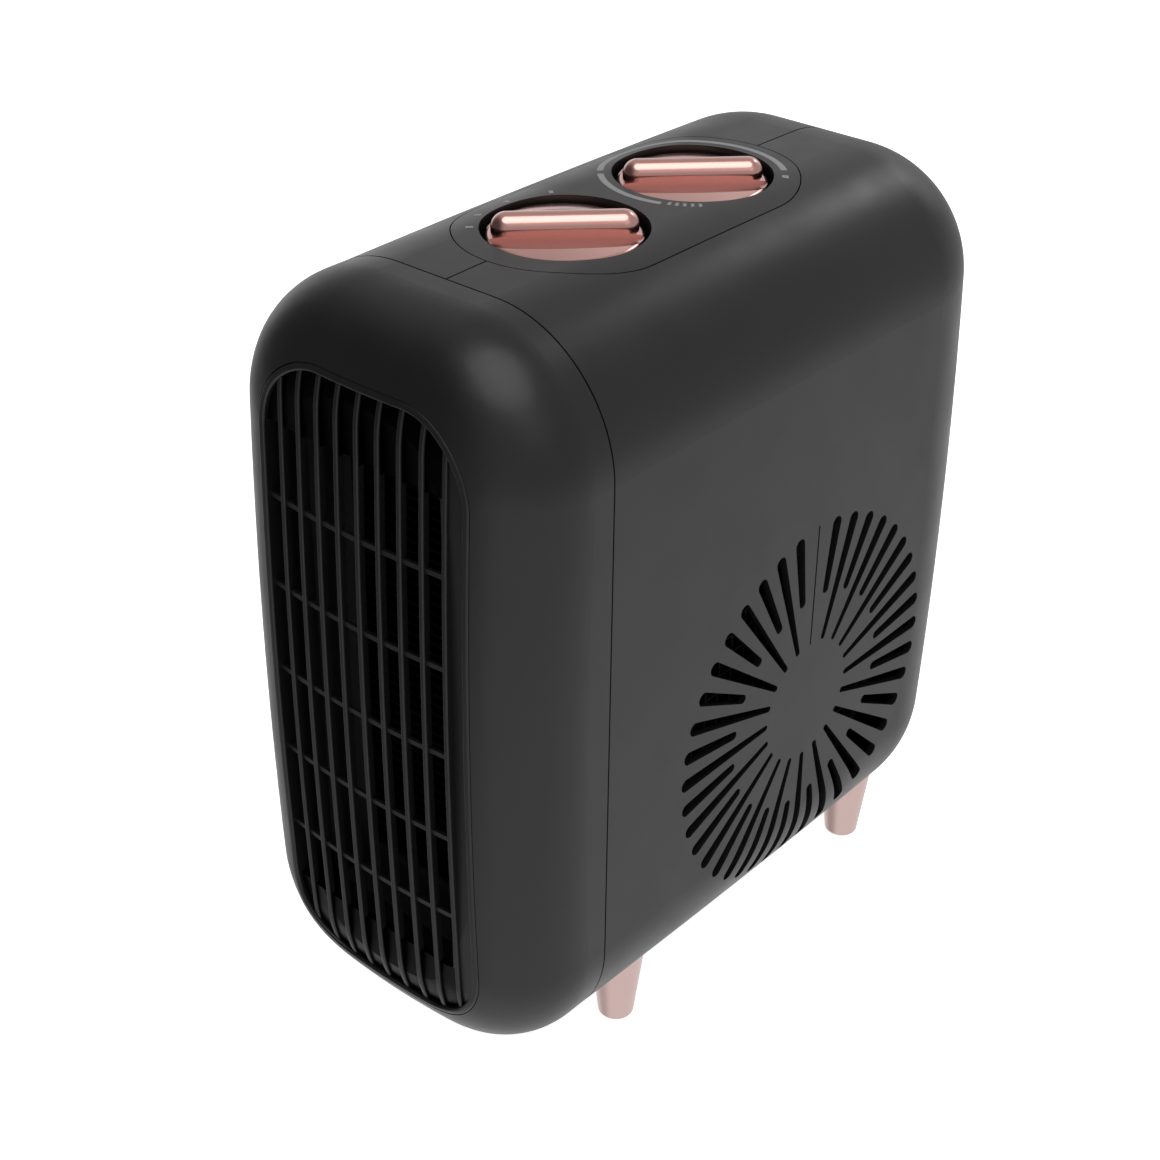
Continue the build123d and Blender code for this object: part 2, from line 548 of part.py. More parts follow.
def dust_filter():
    """A ring with a square mesh, seated on the scroll's intake collar."""
    centre = (AXIS_Y, AXIS_Z)
    net = tube("X", centre, COLLAR_R, COLLAR_R - FILTER_RIM, COLLAR_X, COLLAR_X + FILTER_T)
    strand_x0, strand_x1 = COLLAR_X + FILTER_T / 4, COLLAR_X + FILTER_T / 2
    inside = rod("X", centre, COLLAR_R - FILTER_RIM / 2, COLLAR_X, COLLAR_X + FILTER_T)
    for i in range(1, int(2 * COLLAR_R / MESH_PITCH)):
        y = AXIS_Y - COLLAR_R + i * MESH_PITCH
        z = AXIS_Z - COLLAR_R + i * MESH_PITCH
        upright = block(strand_x0, strand_x1, y - STRAND_HALF_W, y + STRAND_HALF_W,
                        AXIS_Z - COLLAR_R, AXIS_Z + COLLAR_R)
        across = block(strand_x0, strand_x1, AXIS_Y - COLLAR_R, AXIS_Y + COLLAR_R,
                       z - STRAND_HALF_W, z + STRAND_HALF_W)
        net += (upright + across) & inside
    return net.solids().sort_by(SortBy.VOLUME)[-1]


def impeller():
    """A forward-curved blower wheel: back plate, hub, thirty blades and a mouth ring."""
    centre = (AXIS_Y, AXIS_Z)
    wheel = rod("X", centre, IMPELLER_R, IMPELLER_PLATE_X, IMPELLER_PLATE_X + IMPELLER_WALL)
    wheel += rod("X", centre, HUB_R, IMPELLER_PLATE_X, FAN_SHAFT_X1)
    wheel += tube("X", centre, IMPELLER_R, BLADE_INNER_R, IMPELLER_MOUTH_X - IMPELLER_WALL, IMPELLER_MOUTH_X)
    mid_r = (IMPELLER_R + BLADE_INNER_R) / 2
    half_chord = (IMPELLER_R - BLADE_INNER_R) / 2 - IMPELLER_BLADE_INSET
    blade = block(IMPELLER_PLATE_X + 1, IMPELLER_MOUTH_X - 1, -IMPELLER_BLADE_HALF_T, IMPELLER_BLADE_HALF_T,
                  -half_chord, half_chord)
    for i in range(BLADE_COUNT):
        turn = Rot(360 * i / BLADE_COUNT, 0, 0) * Pos(0, 0, mid_r) * Rot(BLADE_ANGLE, 0, 0)
        wheel += Pos(0, AXIS_Y, AXIS_Z) * turn * blade
    wheel -= rod("X", centre, SHAFT_R, IMPELLER_PLATE_X - 1, FAN_SHAFT_X1 + 1)
    return wheel


def fan_shaft():
    return rod("X", (AXIS_Y, AXIS_Z), SHAFT_R, FAN_SHAFT_X0, FAN_SHAFT_X1)


def motor_body():
    centre = (AXIS_Y, AXIS_Z)
    can = rod("X", centre, MOTOR_R, MOTOR_X0, MOTOR_X1)
    can -= rod("X", centre, ROTOR_R + MOTOR_GAP, MOTOR_X0 + BEARING_L, MOTOR_X1 - BEARING_L)
    can -= rod("X", centre, BEARING_R, MOTOR_X0 - 1, MOTOR_X1 + 1)
    return can


def motor_rotor():
    x0, x1 = MOTOR_X0 + BEARING_L + ROTOR_END_GAP, MOTOR_X1 - BEARING_L - ROTOR_END_GAP
    return tube("X", (AXIS_Y, AXIS_Z), ROTOR_R, SHAFT_R, x0, x1)


def motor_bearing(x0, x1):
    return tube("X", (AXIS_Y, AXIS_Z), BEARING_R, SHAFT_R + RUN_FIT, x0, x1)


def bracket_holes():
    holes = []
    for i in range(3):
        a = math.radians(90 + 120 * i)
        holes.append((AXIS_Y + BRACKET_HOLE_R * math.cos(a), AXIS_Z + BRACKET_HOLE_R * math.sin(a)))
    return holes


def motor_bracket():
    ring = tube("X", (AXIS_Y, AXIS_Z), BRACKET_R, MOTOR_R, SCROLL_X0 - BRACKET_T, SCROLL_X0)
    for y, z in bracket_holes():
        ring -= rod("X", (y, z), BOSS_BORE_R, SCROLL_X0 - BRACKET_T - 1, SCROLL_X0 + 1)
    return ring


# ---- duct and heating element ----

def duct_profile(wall):
    """The side outline of the duct: straight at the element, narrowing back to the scroll."""
    z0, z1 = DUCT_BOTTOM_Z + wall, DUCT_TOP_Z - wall
    m0, m1 = SCROLL_MOUTH_Z0 - DUCT_WALL + wall, SCROLL_MOUTH_Z1 + DUCT_WALL - wall
    y_taper = ELEMENT_Y1 + DUCT_WALL
    with BuildSketch(Plane.YZ) as s:
        with BuildLine():
            Polyline((DUCT_FRONT_Y, z0), (DUCT_FRONT_Y, z1), (y_taper, z1), (DUCT_BACK_Y, m1),
                     (DUCT_BACK_Y, m0), (y_taper, z0), close=True)
        make_face()
    return s.sketch


def air_duct():
    """The duct from the scroll's mouth to the grille, with a screwed flange at the front."""
    inner_w, front, behind = DUCT_HALF_W - DUCT_WALL, DUCT_FRONT_Y, DUCT_FRONT_Y + DUCT_WALL
    duct = extrude(duct_profile(0), DUCT_HALF_W, both=True) + grille_prism(FLANGE_LAP, front, behind)
    for x in (-DUCT_SCREW_X, DUCT_SCREW_X):
        for z in DUCT_SCREW_ZS:
            outside, inside = x + math.copysign(EAR_HALF, x), math.copysign(GRILLE_HALF_W - 1, x)
            duct += block(inside, outside, front, behind, z - EAR_HALF, z + EAR_HALF)
    duct -= extrude(duct_profile(DUCT_WALL), inner_w, both=True)
    duct -= block(-inner_w, inner_w, front - 1, front + 1, DUCT_BOTTOM_Z + DUCT_WALL, DUCT_TOP_Z - DUCT_WALL)
    duct -= block(-inner_w, inner_w, DUCT_BACK_Y - 1, DUCT_BACK_Y + 1, SCROLL_MOUTH_Z0, SCROLL_MOUTH_Z1)
    for x in (-DUCT_SCREW_X, DUCT_SCREW_X):
        for z in DUCT_SCREW_ZS:
            duct -= rod("Y", (x, z), BOSS_BORE_R, front - 1, behind + 1)
    for x in TUBE_XS:
        duct -= terminal_slot(x)
    return duct.solids().sort_by(SortBy.VOLUME)[-1]


def terminal_slot(x):
    y, half_w, half_t = ELEMENT_MID_Y, LARGE_TAB_HALF_W + HEAD_GAP, TAB_HALF_T + HEAD_GAP
    return block(x - half_w, x + half_w, y - half_t, y + half_t, CORE_Z1, DUCT_TOP_Z + 1)


def element_frame():
    """The heat-proof plastic frame that holds the heating core in the duct."""
    w = DUCT_HALF_W - DUCT_WALL
    frame = block(-w, w, ELEMENT_Y0, ELEMENT_Y1, DUCT_BOTTOM_Z + DUCT_WALL, DUCT_TOP_Z - DUCT_WALL)
    frame -= block(-CORE_HALF_W, CORE_HALF_W, ELEMENT_Y0 - 1, ELEMENT_Y1 + 1, CORE_Z0, CORE_Z1)
    for x in TUBE_XS:
        frame -= terminal_slot(x)
    return frame


def heating_core():
    """Aluminium fins between two end plates, crossed by two flat tubes for the ceramic stones."""
    y0, y1 = ELEMENT_Y0 + CORE_INSET, ELEMENT_Y1 - CORE_INSET
    core = block(-CORE_HALF_W, -CORE_HALF_W + END_PLATE_T, y0, y1, CORE_Z0, CORE_Z1)
    core += block(CORE_HALF_W - END_PLATE_T, CORE_HALF_W, y0, y1, CORE_Z0, CORE_Z1)
    outer = STONE_HALF_T + TUBE_WALL
    for x in TUBE_XS:
        core += block(x - outer, x + outer, y0 + TUBE_WALL, y1 - TUBE_WALL, CORE_Z0, CORE_Z1)
    for i in range(int((CORE_Z1 - CORE_Z0) / FIN_PITCH)):
        z = CORE_Z0 + (i + 0.5) * FIN_PITCH
        core += block(-CORE_HALF_W, CORE_HALF_W, y0, y1, z, z + FIN_T)
    z0, z1 = CORE_Z0 + TUBE_END, CORE_Z1 - TUBE_END
    for x in TUBE_XS:
        core -= block(x - STONE_HALF_T, x + STONE_HALF_T, y0 + 2 * TUBE_WALL, y1 - 2 * TUBE_WALL, z0, z1)
    return core


def ceramic_stones():
    edge = CORE_INSET + 2 * TUBE_WALL
    length = (CORE_Z1 - CORE_Z0 - 2 * TUBE_END) / STONE_COUNT
    stones = []
    for x in TUBE_XS:
        for i in range(STONE_COUNT):
            z = CORE_Z0 + TUBE_END + i * length
            stones.append(block(x - STONE_HALF_T, x + STONE_HALF_T, ELEMENT_Y0 + edge, ELEMENT_Y1 - edge,
                                z, z + length - STONE_GAP))
    return stones


def element_terminals():
    return [tab(x, ELEMENT_MID_Y, CORE_Z1, DUCT_TOP_Z + TAB_L, LARGE_TAB_HALF_W) for x in TUBE_XS]


def thermal_cutout():
    """A disc thermostat on top of the duct, with two blade terminals."""
    y, top = ELEMENT_Y0 + CUTOUT_SETBACK, DUCT_TOP_Z + CUTOUT_RIM_H + CUTOUT_CAP_H
    disc = rod("Z", (0, y), CUTOUT_R, DUCT_TOP_Z, DUCT_TOP_Z + CUTOUT_RIM_H)
    disc += rod("Z", (0, y), CUTOUT_CAP_R, DUCT_TOP_Z + CUTOUT_RIM_H, top)
    for side in (-1, 1):
        disc += tab(side * CUTOUT_CAP_R / 2, y, top, top + TAB_L, SMALL_TAB_HALF_W)
    return disc


def thermal_fuse():
    y, z = ELEMENT_Y1 - FUSE_R, DUCT_TOP_Z + FUSE_R
    fuse = rod("X", (y, z), FUSE_R, -FUSE_HALF_L, FUSE_HALF_L)
    return fuse + rod("X", (y, z), FUSE_WIRE_R, -FUSE_WIRE_HALF_L, FUSE_WIRE_HALF_L)


# ---- base ----

def foot(x, y):
    """A tapered foot whose top is shaped to the rounded underside."""
    slope = (FOOT_TOP_R - FOOT_BOTTOM_R) / (FOOT_TOP_Z - FOOT_FACE_Z)
    top_z = FOOT_TOP_Z + FOOT_OVERLAP
    top_r = FOOT_BOTTOM_R + slope * (top_z - FOOT_FACE_Z)
    cone = Pos(x, y, (FOOT_FACE_Z + top_z) / 2) * Cone(FOOT_BOTTOM_R, top_r, top_z - FOOT_FACE_Z)
    cone = fillet(cone.edges().group_by(Axis.Z)[0], FOOT_EDGE_R)
    cone -= rod("Z", (x, y), FOOT_PAD_R, FOOT_FACE_Z - 1, FOOT_PAD_T)
    cone -= rod("Z", (x, y), BOSS_BORE_R, FOOT_SCREW_TIP_Z, top_z + 1)
    cone -= main_envelope(0)
    return cone.solids().sort_by(SortBy.VOLUME)[-1]


def screw(axis, centre, head_at, tip_at):
    """A pan-head screw along an axis: the head's underside is at head_at."""
    way = 1 if tip_at > head_at else -1
    shank = rod(axis, centre, BOSS_BORE_R, head_at, tip_at)
    return shank + rod(axis, centre, SCREW_HEAD_R, head_at - way * SCREW_HEAD_L, head_at)


def tilt_switch():
    """The hollow case of the tip-over switch, with a hole for the pendulum's pin."""
    x0, x1, z0, z1 = TILT_X0, TILT_X1, TILT_BASE_Z, TILT_TOP_Z
    y0, y1 = TILT_Y - TILT_HALF_Y, TILT_Y + TILT_HALF_Y
    t = TILT_WALL
    case = block(x0, x1, y0, y1, z0, z1) - block(x0 + t, x1 - t, y0 + t, y1 - t, z0 + t, z1 - t)
    return case - tilt_pin()


def tilt_pin():
    return rod("X", (TILT_Y, TILT_PIN_Z), TILT_PIN_R, TILT_X0, TILT_X1)


def tilt_pendulum():
    """A round weight on a short arm that hangs from the pin."""
    mid, low_z = (TILT_X0 + TILT_X1) / 2, TILT_PIN_Z - TILT_ARM_L
    bob = rod("X", (TILT_Y, low_z), TILT_BOB_R, mid - TILT_BOB_HALF_L, mid + TILT_BOB_HALF_L)
    arm = block(mid - 1, mid + 1, TILT_Y - TILT_ARM_HALF_W, TILT_Y + TILT_ARM_HALF_W, low_z, TILT_PIN_Z)
    hub = rod("X", (TILT_Y, TILT_PIN_Z), 2 * TILT_ARM_HALF_W, mid - 2, mid + 2)
    return bob + arm + hub - rod("X", (TILT_Y, TILT_PIN_Z), TILT_PIN_R + RUN_FIT, TILT_X0, TILT_X1)


def clamp_spots():
    """The YZ centres of the three terminal clamps."""
    y0, y1, z0, z1 = TERMINAL_BOX
    return [(y0 + (i + 0.5) * (y1 - y0) / 3, (z0 + z1) / 2) for i in range(3)]


def terminal_block():
    """The mains terminal strip on the scroll's motor side, with three screw clamps."""
    y0, y1, z0, z1 = TERMINAL_BOX
    strip = block(SCROLL_X0 - TERMINAL_H, SCROLL_X0, y0, y1, z0, z1)
    for y, z in clamp_spots():
        strip -= rod("X", (y, z), CLAMP_R, SCROLL_X0 - TERMINAL_H - 1, SCROLL_X0 - CLAMP_FLOOR)
        strip -= rod("Z", (SCROLL_X0 - CLAMP_FLOOR / 2, y), WIRE_HOLE_R, z0 - 1, z1 + 1)
    return strip


def terminal_screws():
    floor = SCROLL_X0 - CLAMP_FLOOR
    return [rod("X", spot, CLAMP_R, floor - CLAMP_SCREW_L, floor) for spot in clamp_spots()]


def cord_bush():
    centre = (CORD_X, CORD_Z)
    outside = CORD_SEAT_Y + CORD_FLANGE_T
    bush = rod("Y", centre, CORD_BUSH_R, CORD_SEAT_Y - CORD_BUSH_L, CORD_SEAT_Y)
    bush += rod("Y", centre, CORD_FLANGE_R, CORD_SEAT_Y, outside)
    return bush - rod("Y", centre, CORD_BORE_R, CORD_SEAT_Y - CORD_BUSH_L - 1, outside + 1)


def write(name, shape):
    """Writes one node; a list of solids becomes a group in one file."""
    if isinstance(shape, list):
        shape = Compound(children=[s.solid() if not isinstance(s, Solid) else s for s in shape])
    export_step(shape, f"parts/{name}.step")


def main():
    os.makedirs("parts", exist_ok=True)
    write("front_cover", front_cover())
    write("right_shell", case_shell(1))
    write("left_shell", case_shell(-1))
    write("outlet_grille", outlet_grille())
    write("control_fascia", control_fascia())
    write("selector_knob", knob(FRONT_KNOB_Y))
    write("thermostat_knob", knob(REAR_KNOB_Y))
    write("selector_shaft", control_shaft(FRONT_KNOB_Y))
    write("thermostat_shaft", control_shaft(REAR_KNOB_Y))
    write("selector_switch", selector_switch())
    write("thermostat_base", thermostat())
    write("thermostat_blade", thermostat_blade())
    write("scroll_housing", scroll_housing())
    write("scroll_cover", scroll_cover())
    write("dust_filter", dust_filter())
    write("impeller", impeller())
    write("fan_shaft", fan_shaft())
    write("motor_body", motor_body())
    write("motor_rotor", motor_rotor())
    write("motor_bearings", [motor_bearing(MOTOR_X0, MOTOR_X0 + BEARING_L),
                             motor_bearing(MOTOR_X1 - BEARING_L, MOTOR_X1)])
    write("motor_bracket", motor_bracket())
    write("motor_screws", [screw("X", c, SCROLL_X0 - BRACKET_T, SCROLL_X0 + SCROLL_WALL)
                           for c in bracket_holes()])
    write("air_duct", air_duct())
    write("element_frame", element_frame())
    write("heating_core", heating_core())
    write("ceramic_stones", ceramic_stones())
    write("element_terminals", element_terminals())
    write("thermal_cutout", thermal_cutout())
    write("thermal_fuse", thermal_fuse())
    write("tilt_switch_case", tilt_switch())
    write("tilt_pin", tilt_pin())
    write("tilt_pendulum", tilt_pendulum())
    write("terminal_block", terminal_block())
    write("terminal_screws", terminal_screws())
    write("cord_bush", cord_bush())
    foot_names = {(1, 0): "foot_front_right", (-1, 0): "foot_front_left",
                  (1, 1): "foot_rear_right", (-1, 1): "foot_rear_left"}
    for (side, row), name in foot_names.items():
        write(name, foot(side * FOOT_X, FOOT_YS[row]))
    spots = [(s * FOOT_X, y) for s in (-1, 1) for y in FOOT_YS]
    write("foot_pads", [rod("Z", c, FOOT_PAD_R, 0, FOOT_PAD_T) for c in spots])
    write("foot_screws", [screw("Z", c, FOOT_BOSS_TOP_Z, FOOT_SCREW_TIP_Z) for c in spots])
    write("case_screws", [screw("X", c, CASE_SCREW_HEAD_X, CASE_SCREW_TIP_X) for c in CASE_SCREW_YZ])
    duct_spots = [(x, z) for x in (-DUCT_SCREW_X, DUCT_SCREW_X) for z in DUCT_SCREW_ZS]
    write("duct_screws", [screw("Y", c, DUCT_FRONT_Y + DUCT_WALL, GRILLE_BACK_Y - DUCT_SCREW_L)
                          for c in duct_spots])


main()
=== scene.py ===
import math

import bpy
from mathutils import Matrix, Vector
from mathutils.bvhtree import BVHTree
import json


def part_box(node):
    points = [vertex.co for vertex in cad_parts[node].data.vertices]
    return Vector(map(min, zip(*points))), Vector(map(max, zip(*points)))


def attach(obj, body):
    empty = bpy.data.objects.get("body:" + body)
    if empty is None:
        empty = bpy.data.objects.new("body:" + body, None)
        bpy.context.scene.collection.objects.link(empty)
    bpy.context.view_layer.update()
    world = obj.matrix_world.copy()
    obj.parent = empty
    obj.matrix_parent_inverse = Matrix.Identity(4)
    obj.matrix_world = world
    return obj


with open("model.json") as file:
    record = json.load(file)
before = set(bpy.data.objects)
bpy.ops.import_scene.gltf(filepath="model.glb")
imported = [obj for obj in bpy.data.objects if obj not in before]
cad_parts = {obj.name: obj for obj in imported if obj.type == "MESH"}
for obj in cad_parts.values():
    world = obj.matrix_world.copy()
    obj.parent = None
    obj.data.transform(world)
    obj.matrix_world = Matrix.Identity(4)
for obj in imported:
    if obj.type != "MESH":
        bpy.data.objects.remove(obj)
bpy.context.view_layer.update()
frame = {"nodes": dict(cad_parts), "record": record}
NODES = frame["nodes"]
RECORD = frame["record"]

MM = 0.001

# ---- camera, in metres and degrees, in the frame of the CAD model ----
CAMERA_AT = Vector((0.3521, -0.4365, 0.4680))
CAMERA_AZIMUTH = 40.513
CAMERA_ELEVATION = 31.223
CAMERA_ROLL = 0.697
LENS = 64.74
SENSOR = 36.0
CLIP = (0.01, 20)


def make_camera():
    az, el = math.radians(CAMERA_AZIMUTH), math.radians(CAMERA_ELEVATION)
    back = Vector((math.sin(az) * math.cos(el), -math.cos(az) * math.cos(el), math.sin(el)))
    right = Vector((math.cos(az), math.sin(az), 0))
    up = back.cross(right)
    turn = Matrix((right, up, back)).transposed() @ Matrix.Rotation(math.radians(CAMERA_ROLL), 3, "Z")
    data = bpy.data.cameras.new("camera")
    data.lens, data.sensor_width = LENS, SENSOR
    data.clip_start, data.clip_end = CLIP
    camera = bpy.data.objects.new("camera", data)
    camera.location = CAMERA_AT
    camera.rotation_mode = "QUATERNION"
    camera.rotation_quaternion = turn.to_quaternion()
    bpy.context.scene.collection.objects.link(camera)
    bpy.context.scene.camera = camera


# ---- material helpers ----

# most of a noise texture's values lie between these two
NOISE_LOW, NOISE_HIGH = 0.3, 0.7


class Surface:
    """A principled material under construction, with its texture nodes in object space."""

    def __init__(self, name):
        self.material = bpy.data.materials.new(name)
        self.material.use_nodes = True
        self.tree = self.material.node_tree
        self.shader = self.tree.nodes["Principled BSDF"]
        self.place = self.add("ShaderNodeTexCoord").outputs["Object"]

    def add(self, kind, **settings):
        node = self.tree.nodes.new(kind)
        for key, value in settings.items():
            setattr(node, key, value)
        return node

    def link(self, out, socket):
        self.tree.links.new(out, socket)

    def stretched(self, scale):
        mapping = self.add("ShaderNodeMapping")
        mapping.inputs["Scale"].default_value = scale
        self.link(self.place, mapping.inputs["Vector"])
        return mapping.outputs["Vector"]

    def noise(self, scale, detail, vector=None):
        node = self.add("ShaderNodeTexNoise")
        node.inputs["Scale"].default_value = scale
        node.inputs["Detail"].default_value = detail
        self.link(vector or self.place, node.inputs["Vector"])
        return node.outputs["Fac"]

    def cells(self, scale):
        node = self.add("ShaderNodeTexVoronoi")
        node.inputs["Scale"].default_value = scale
        self.link(self.place, node.inputs["Vector"])
        return node.outputs["Distance"]

    def fix(self, **values):
        """Constant values, the same all over the surface."""
        for name, value in values.items():
            self.shader.inputs[name.replace("_", " ")].default_value = value

    def coordinates(self):
        node = self.add("ShaderNodeSeparateXYZ")
        self.link(self.place, node.inputs[0])
        return node.outputs

    def math(self, operation, *values):
        """One step of arithmetic on sockets and numbers."""
        node = self.add("ShaderNodeMath", operation=operation)
        for value, socket in zip(values, node.inputs):
            if isinstance(value, (int, float)):
                socket.default_value = value
            else:
                self.link(value, socket)
        return node.outputs[0]

    def step(self, out, start, end):
        """A soft step from 0 at start to 1 at end."""
        span = self.add("ShaderNodeMapRange", interpolation_type="SMOOTHSTEP")
        for name, value in (("From Min", start), ("From Max", end)):
            span.inputs[name].default_value = value
        self.link(out, span.inputs["Value"])
        return span.outputs["Result"]

    def colour(self, out, low, high, start=NOISE_LOW, end=NOISE_HIGH):
        """Base colour from low to high as a texture goes from start to end."""
        ramp = self.add("ShaderNodeValToRGB")
        ramp.color_ramp.elements[0].position = start
        ramp.color_ramp.elements[0].color = (*low, 1)
        ramp.color_ramp.elements[1].position = end
        ramp.color_ramp.elements[1].color = (*high, 1)
        self.link(out, ramp.inputs["Fac"])
        self.link(ramp.outputs["Color"], self.shader.inputs["Base Color"])

    def roughness(self, out, middle, spread):
        """Roughness that drifts by spread about its middle value."""
        span = self.add("ShaderNodeMapRange")
        low, high = middle - spread, middle + spread
        limits = (("From Min", NOISE_LOW), ("From Max", NOISE_HIGH), ("To Min", low), ("To Max", high))
        for name, value in limits:
            span.inputs[name].default_value = value
        self.link(out, span.inputs["Value"])
        self.link(span.outputs["Result"], self.shader.inputs["Roughness"])

    def bump(self, out, depth):
        node = self.add("ShaderNodeBump")
        node.inputs["Distance"].default_value = depth
        node.inputs["Strength"].default_value = 1.0
        self.link(out, node.inputs["Height"])
        self.link(node.outputs["Normal"], self.shader.inputs["Normal"])


def shade(colour, factor):
    return tuple(min(1.0, c * factor) for c in colour)


# texture scales are in cells per metre
PLASTIC_IOR = 1.5
PLASTIC_GRAIN, PLASTIC_GRAIN_DEPTH = 2600, 0.012 * MM
PLASTIC_DRIFT, PLASTIC_GLOSS = 18, 60
METAL_FLAKE, METAL_GLOSS = 2400, 90
ORANGE_PEEL, ORANGE_PEEL_DEPTH = 1100, 0.004 * MM
RUBBER_IOR = 1.45


def moulded(name, colour, rough, grain=PLASTIC_GRAIN, depth=PLASTIC_GRAIN_DEPTH):
    """Moulded plastic: spark-eroded grain, slow drift of tone and gloss."""
    s = Surface(name)
    s.colour(s.noise(PLASTIC_DRIFT, 2), shade(colour, 0.92), shade(colour, 1.08))
    s.roughness(s.noise(PLASTIC_GLOSS, 4), rough, 0.04)
    s.bump(s.noise(grain, 2), depth)
    s.fix(IOR=PLASTIC_IOR)
    return s.material


def flecked(name, colour, rough):
    """Glass-filled plastic: short pale fibres lying in the surface."""
    s = Surface(name)
    fibres = s.noise(900, 2, s.stretched((0.15, 1, 1)))
    s.colour(fibres, shade(colour, 0.86), shade(colour, 1.08), 0.4, 0.62)
    s.roughness(fibres, rough, 0.08)
    s.bump(fibres, 0.02 * MM)
    return s.material


def satin_metal(name, colour, rough):
    """Metallised coating: fine flake, very slight orange peel."""
    s = Surface(name)
    s.colour(s.cells(METAL_FLAKE), shade(colour, 0.96), shade(colour, 1.03), 0.0, 0.6)
    s.roughness(s.noise(METAL_GLOSS, 3), rough, 0.03)
    s.bump(s.noise(ORANGE_PEEL, 2), ORANGE_PEEL_DEPTH)
    s.fix(Metallic=1.0)
    return s.material


def lacquered_metal(name, colour, rough):
    """Tinted metal under a clear glossy lacquer."""
    s = Surface(name)
    s.colour(s.cells(METAL_FLAKE), shade(colour, 0.95), shade(colour, 1.04), 0.0, 0.6)
    s.roughness(s.noise(METAL_GLOSS, 3), rough, 0.03)
    s.bump(s.noise(ORANGE_PEEL, 2), ORANGE_PEEL_DEPTH)
    s.fix(Metallic=1.0, Coat_Weight=1.0, Coat_Roughness=0.10, Coat_IOR=1.5)
    return s.material


def rolled_metal(name, colour, rough, along=(1, 12, 12), tarnish=0.12):
    """Rolled or drawn metal: fine lines along one axis and a faint tarnish."""
    s = Surface(name)
    lines = s.noise(420, 4, s.stretched(along))
    s.colour(s.noise(70, 3), shade(colour, 1 - tarnish), colour)
    s.roughness(lines, rough + 0.015, 0.085)
    s.bump(lines, 0.01 * MM)
    s.fix(Metallic=1.0)
    return s.material


def fired(name, colour, rough):
    """Fired ceramic: speckled body with small pits."""
    s = Surface(name)
    speckle = s.cells(1500)
    s.colour(speckle, shade(colour, 0.72), shade(colour, 1.06), 0.05, 0.4)
    s.roughness(s.noise(220, 4), rough, 0.08)
    s.bump(speckle, 0.03 * MM)
    return s.material


def plastic_with_painted_recess_shade(name, colour, rough):
    """Grille plastic: grained in front, with painted shade in the recess above and below the outlet window,
    darker and metallic there to dim its reflections.
    """
    s = Surface(name)
    x, y, z = s.coordinates()
    rise = s.math("ABSOLUTE", s.math("SUBTRACT", z, GRILLE_MID_Z))
    roll = s.math("MAXIMUM", s.math("SUBTRACT", rise, GRILLE_ROLL_AT), 0.0)
    depth = s.math("SUBTRACT", y, GRILLE_FRONT_Y)
    for length, radius in ((x, GRILLE_PLAN_R), (rise, GRILLE_BOW_R), (roll, GRILLE_ROLL_R)):
        sag = s.math("DIVIDE", s.math("MULTIPLY", length, length), 2 * radius)
        depth = s.math("SUBTRACT", depth, sag)
    deep = s.step(depth, *RECESS_SHADE_DEPTH)
    past_window = s.step(s.math("ABSOLUTE", s.math("SUBTRACT", z, WINDOW_MID_Z)), *RECESS_SHADE_RISE)
    off_border = s.step(x, *RECESS_SHADE_SIDE)
    # painted shade deep in the recess above and below the outlet window: darker colour and a metallic
    # surface that dims its reflections
    recess_shade_mask = s.math("MULTIPLY", s.math("MULTIPLY", deep, past_window), off_border)
    s.colour(recess_shade_mask, colour, shade(colour, 0.6), 0.0, 1.0)
    s.link(recess_shade_mask, s.shader.inputs["Metallic"])
    s.roughness(s.noise(PLASTIC_GLOSS, 4), rough, 0.04)
    s.bump(s.noise(PLASTIC_GRAIN, 2), PLASTIC_GRAIN_DEPTH)
    s.fix(IOR=PLASTIC_IOR)
    return s.material


def matt_rubber(name, colour):
    s = Surface(name)
    fine = s.noise(1400, 4)
    s.colour(s.noise(120, 3), shade(colour, 0.8), shade(colour, 1.3))
    s.roughness(fine, 0.865, 0.085)
    s.bump(fine, 0.03 * MM)
    s.fix(IOR=RUBBER_IOR)
    return s.material


def fin_metal(name, colour):
    """Heating fins: dulled aluminium, made near black as painted shade deep inside the heater, darker in
    random patches.
    """
    s = Surface(name)
    s.colour(s.noise(90, 4), shade(colour, 0.45), colour, 0.35, NOISE_HIGH)
    s.roughness(s.noise(500, 3), 0.6, 0.1)
    s.bump(s.noise(900, 3, s.stretched((0.2, 1, 1))), 0.02 * MM)
    s.fix(Metallic=1.0)
    return s.material


# ---- the finish of every CAD node, by its material slot; the two knobs are lacquered as well ----

BODY = (0.0080, 0.0080, 0.0083)
GRILLE = (0.0068, 0.0068, 0.0070)
INNER = (0.004, 0.004, 0.004)
# the feet's rose metal, paler than LACQUER: its own tone plus painted reflection of the bright floor
ROSE_WITH_PAINTED_FLOOR_REFLECTION = (0.78, 0.57, 0.535)
LACQUER = (0.74, 0.385, 0.34)
LACQUERED_NODES = ("selector_knob", "thermostat_knob")

# the bowed front that the outlet grille follows
GRILLE_FRONT_Y, GRILLE_MID_Z = -117 * MM, 138 * MM
GRILLE_PLAN_R, GRILLE_BOW_R = 300 * MM, 1700 * MM
GRILLE_ROLL_AT, GRILLE_ROLL_R = 86.2 * MM, 40 * MM
# where the painted shade in the recess round the outlet window fades in: its depth, its distance from
# WINDOW_MID_Z, and its x
WINDOW_MID_Z = 136.85 * MM
RECESS_SHADE_DEPTH = (1.6 * MM, 2.0 * MM)
RECESS_SHADE_RISE = (77.25 * MM, 77.65 * MM)
RECESS_SHADE_SIDE = (31.0 * MM, 29.5 * MM)


